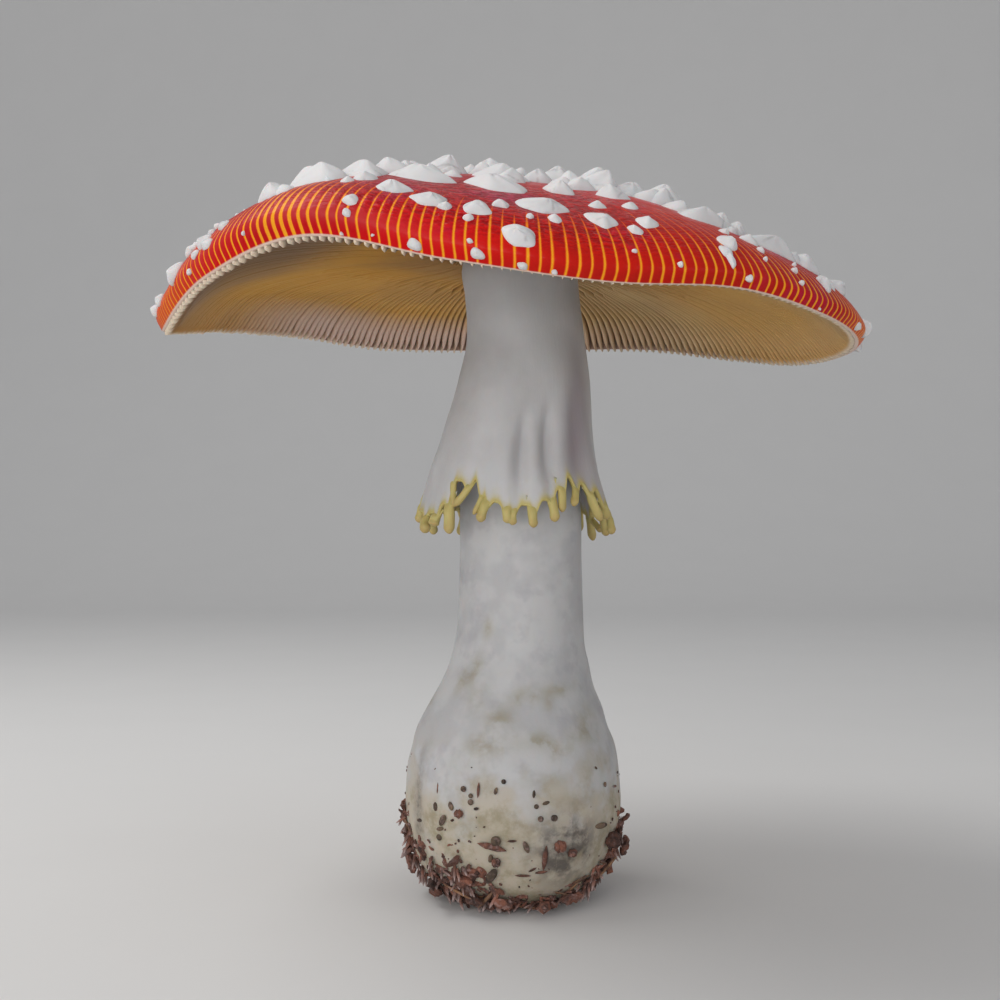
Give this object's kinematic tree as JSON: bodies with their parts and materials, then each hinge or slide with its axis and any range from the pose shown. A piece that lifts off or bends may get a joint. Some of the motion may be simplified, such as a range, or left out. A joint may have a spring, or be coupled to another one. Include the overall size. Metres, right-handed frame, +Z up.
{
  "type": "fly agaric mushroom",
  "caption": "Wild mushroom with a domed red cap, pale warts, free gills, a hanging skirt and a round bulb with soil on it.",
  "frame": {"origin": "middle of the small flat patch that the bulb stands on", "axes": "+Z up along the stem, +X to the right and -Y towards the viewer of the side with the raised rim"},
  "size_m": [0.1197, 0.1201, 0.1255],
  "materials": {
    "red_skin": "gloss",
    "gills": "matte",
    "white_flesh": "satin",
    "skirt_veil": "satin",
    "wart_veil": "matte",
    "soil": "matte",
    "needle": "matte"
  },
  "bodies": {
    "root": {"cap": "red_skin", "gills": "gills", "stem": "white_flesh", "skirt": "skirt_veil", "soil_crust": "soil", "wart_01": "wart_veil", "wart_02": "wart_veil", "wart_03": "wart_veil", "wart_04": "wart_veil", "wart_05": "wart_veil", "wart_06": "wart_veil", "wart_07": "wart_veil", "wart_08": "wart_veil", "wart_09": "wart_veil", "wart_10": "wart_veil", "wart_11": "wart_veil", "wart_12": "wart_veil", "wart_13": "wart_veil", "wart_14": "wart_veil", "wart_15": "wart_veil", "wart_16": "wart_veil", "wart_17": "wart_veil", "wart_18": "wart_veil", "wart_19": "wart_veil", "wart_20": "wart_veil", "wart_21": "wart_veil", "wart_22": "wart_veil", "wart_23": "wart_veil", "wart_24": "wart_veil", "wart_25": "wart_veil", "wart_26": "wart_veil", "wart_27": "wart_veil", "wart_28": "wart_veil", "wart_29": "wart_veil", "wart_30": "wart_veil", "wart_31": "wart_veil", "wart_32": "wart_veil", "wart_33": "wart_veil", "wart_34": "wart_veil", "wart_35": "wart_veil", "wart_36": "wart_veil", "wart_37": "wart_veil", "wart_38": "wart_veil", "wart_39": "wart_veil", "wart_40": "wart_veil", "wart_41": "wart_veil", "wart_42": "wart_veil", "bark_chip_01": "soil", "bark_chip_02": "soil", "bark_chip_03": "soil", "bark_chip_04": "soil", "bark_chip_05": "soil", "bark_chip_06": "soil", "needle_01": "needle", "needle_02": "needle", "needle_03": "needle", "needle_04": "needle"}
  },
  "joints": []
}
